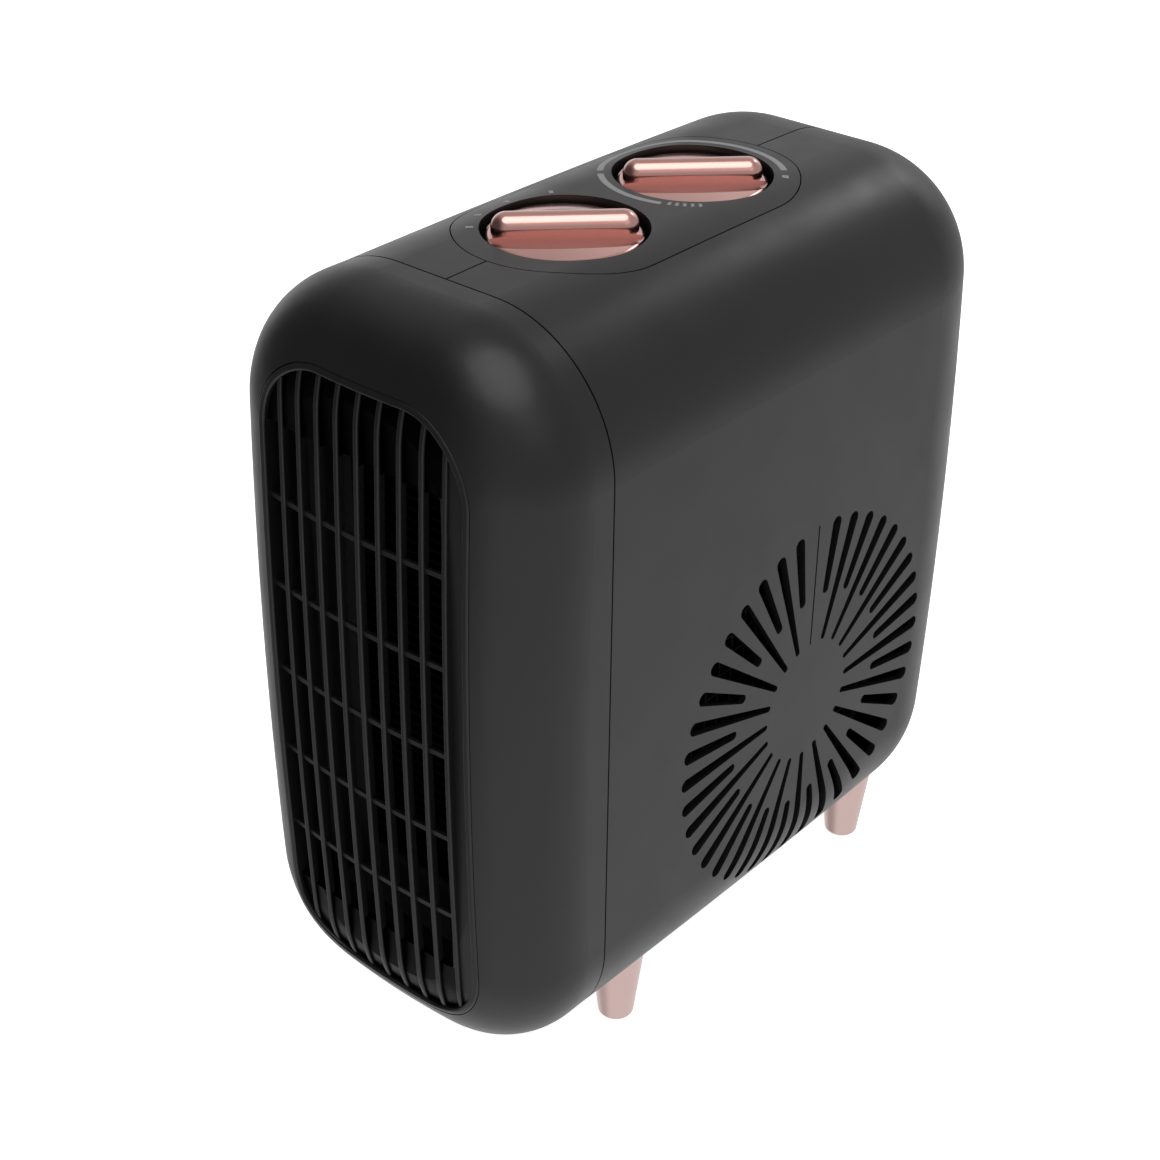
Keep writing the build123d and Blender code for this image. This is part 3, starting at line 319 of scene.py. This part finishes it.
def slot_materials():
    return {
        "body_plastic": moulded("body_plastic", BODY, 0.33),
        # the grille material carries painted shade in its recess round the outlet window
        "grille_plastic": plastic_with_painted_recess_shade("grille_plastic", GRILLE, 0.36),
        "rose_metal": satin_metal("rose_metal", ROSE_WITH_PAINTED_FLOOR_REFLECTION, 0.20),
        "inner_plastic": moulded("inner_plastic", INNER, 0.6, grain=900, depth=0.03 * MM),
        "heat_plastic": flecked("heat_plastic", (0.004, 0.004, 0.004), 0.6),
        # the fins' near-black colour is painted shade deep inside the heater
        "aluminium": fin_metal("aluminium", (0.008, 0.008, 0.008)),
        "ceramic": fired("ceramic", (0.07, 0.065, 0.06), 0.55),
        "ceramic_white": fired("ceramic_white", (0.72, 0.69, 0.62), 0.4),
        "brass": rolled_metal("brass", (0.72, 0.53, 0.24), 0.3),
        "steel": rolled_metal("steel", (0.60, 0.60, 0.61), 0.32),
        "motor_steel": rolled_metal("motor_steel", (0.40, 0.40, 0.41), 0.4, tarnish=0.2),
        "bimetal": rolled_metal("bimetal", (0.62, 0.57, 0.49), 0.35),
        "bronze": rolled_metal("bronze", (0.50, 0.34, 0.17), 0.45, along=(1, 1, 1), tarnish=0.3),
        "rubber": matt_rubber("rubber", (0.02, 0.02, 0.02)),
    }


def paint_nodes():
    materials = slot_materials()
    for part in RECORD["subparts"]:
        node = NODES[part["node"]]
        node.data.materials.clear()
        node.data.materials.append(materials[part["material_slot"]])
    lacquer = lacquered_metal("rose_lacquer", LACQUER, 0.20)
    for name in LACQUERED_NODES:
        NODES[name].data.materials[0] = lacquer


# ---- stage ----

FLOOR_SIZE = 6.0
FLOOR_GLOW = 0.90


def make_floor():
    """A pale, softly glowing floor, like a light table."""
    half = FLOOR_SIZE / 2
    mesh = bpy.data.meshes.new("floor")
    corners = [(-half, -half, 0), (half, -half, 0), (half, half, 0), (-half, half, 0)]
    mesh.from_pydata(corners, [], [(0, 1, 2, 3)])
    floor = bpy.data.objects.new("floor", mesh)
    bpy.context.scene.collection.objects.link(floor)
    s = Surface("floor_white")
    s.colour(s.noise(3, 2), (0.78, 0.78, 0.78), (0.80, 0.80, 0.80))
    s.fix(Roughness=0.9, Emission_Color=(1, 1, 1, 1), Emission_Strength=FLOOR_GLOW)
    mesh.materials.append(s.material)
    floor.visible_glossy = False


# The studio: light level by direction, azimuth from +X towards +Y, both angles in degrees.
BELOW, ABOVE = 0.76, 0.46
# the downward share of a direction over which the level goes from ABOVE to BELOW
HORIZON = (0.12, 0.50)
# azimuth, elevation, inner and outer radius, level inside
LOBES = (
    (-133, 6, 25, 74, 0.08),
    (112, 24, 4, 24, 0.68),
    (90, 22, 4, 18, 1.00),
    (88, 34, 2, 10, 3.60),
    (-18, 36, 4, 26, 0.78),
    (-45, 73, 18, 31, 2.20),
    (150, 4, 8, 30, 0.80),
)


def make_world():
    """A soft studio: pale below, dim at the front left, softboxes behind, beside and overhead."""
    world = bpy.data.worlds.new("studio")
    world.use_nodes = True
    tree = world.node_tree
    place = tree.nodes.new("ShaderNodeTexCoord").outputs["Generated"]

    def towards(direction):
        dot = tree.nodes.new("ShaderNodeVectorMath")
        dot.operation = "DOT_PRODUCT"
        tree.links.new(place, dot.inputs[0])
        dot.inputs[1].default_value = direction
        return dot.outputs["Value"]

    def blend(value, start, end, high):
        """A smooth change to the level high as value goes from start to end."""
        span = tree.nodes.new("ShaderNodeMapRange")
        span.interpolation_type = "SMOOTHSTEP"
        tree.links.new(value, span.inputs["Value"])
        for name, number in (("From Min", start), ("From Max", end), ("To Min", ABOVE), ("To Max", high)):
            span.inputs[name].default_value = number
        return span

    span = blend(towards((0, 0, -1)), *HORIZON, BELOW)
    for azimuth, elevation, inner, outer, high in LOBES:
        a, e = math.radians(azimuth), math.radians(elevation)
        direction = (math.cos(a) * math.cos(e), math.sin(a) * math.cos(e), math.sin(e))
        edge = (math.cos(math.radians(outer)), math.cos(math.radians(inner)))
        level = span.outputs["Result"]
        span = blend(towards(direction), *edge, high)
        tree.links.new(level, span.inputs["To Min"])
    tree.links.new(span.outputs["Result"], tree.nodes["Background"].inputs["Color"])
    bpy.context.scene.world = world


# ---- printed marks round the knobs; angles in degrees from +X towards +Y ----

PRINT_LIFT = 0.04 * MM
PRINT_GREY = (0.30, 0.30, 0.31)
PATCH_STEP, PATCH_RINGS = 3, 3
DROP_FROM_Z = 1.0
FRONT_MARKS = (140, 170, 199, 222)
FRONT_MARK_R = (25.0 * MM, 27.2 * MM)
FRONT_MARK_W = 1.2 * MM
BANDS = ((46, 219), (225, 289))
BAND_R = (25.9 * MM, 27.8 * MM)
END_MARK = (33.9, 38.1)
SCALE_ANGLES = (294, 313)
SCALE_COUNT = 5
SCALE_R = (25.2 * MM, 27.5 * MM)
SCALE_W = 0.9 * MM


class Printer:
    """Lays printed patches on a CAD node's upper surface."""

    def __init__(self, node):
        mesh = NODES[node].data
        corners = [v.co for v in mesh.vertices]
        self.surface = BVHTree.FromPolygons(corners, [p.vertices for p in mesh.polygons])
        self.ink = moulded("print_grey", PRINT_GREY, 0.5, grain=1500, depth=0.004 * MM)

    def height(self, x, y):
        return self.surface.ray_cast(Vector((x, y, DROP_FROM_Z)), Vector((0, 0, -1)))[0].z

    def patch(self, name, centre, radii, start, end):
        """A patch round centre, between two radii and two angles."""
        steps = max(2, round((end - start) / PATCH_STEP) + 1)
        verts, faces = [], []
        for i in range(steps):
            a = math.radians(start + (end - start) * i / (steps - 1))
            for j in range(PATCH_RINGS):
                r = radii[0] + (radii[1] - radii[0]) * j / (PATCH_RINGS - 1)
                x, y = centre.x + r * math.cos(a), centre.y + r * math.sin(a)
                verts.append((x, y, self.height(x, y) + PRINT_LIFT))
        for i in range(steps - 1):
            for j in range(PATCH_RINGS - 1):
                k = i * PATCH_RINGS + j
                faces.append((k, k + 1, k + PATCH_RINGS + 1, k + PATCH_RINGS))
        mesh = bpy.data.meshes.new(name)
        mesh.from_pydata(verts, [], faces)
        if mesh.polygons[0].normal.z < 0:
            mesh.flip_normals()
        mesh.materials.append(self.ink)
        patch = bpy.data.objects.new(name, mesh)
        bpy.context.scene.collection.objects.link(patch)
        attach(patch, "housing")

    def tick(self, name, centre, radii, angle, width):
        half = math.degrees(width / 2 / radii[0])
        self.patch(name, centre, radii, angle - half, angle + half)


def knob_centre(node):
    low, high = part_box(node)
    return (low + high) / 2


def make_prints():
    """Plain marks: four steps by the front knob, two bands, an end mark and a scale round the rear knob."""
    printer = Printer("control_fascia")
    front, rear = knob_centre("selector_knob"), knob_centre("thermostat_knob")
    for i, angle in enumerate(FRONT_MARKS):
        printer.tick(f"step_mark_{i}", front, FRONT_MARK_R, angle, FRONT_MARK_W)
    for i, span in enumerate(BANDS):
        printer.patch(f"warmth_band_{i}", rear, BAND_R, *span)
    printer.patch("end_mark", rear, BAND_R, *END_MARK)
    for i in range(SCALE_COUNT):
        angle = SCALE_ANGLES[0] + (SCALE_ANGLES[1] - SCALE_ANGLES[0]) * i / (SCALE_COUNT - 1)
        printer.tick(f"scale_mark_{i}", rear, SCALE_R, angle, SCALE_W)


def main():
    make_camera()
    paint_nodes()
    make_prints()
    make_floor()
    make_world()
    bpy.context.scene.view_settings.view_transform = "Standard"


main()
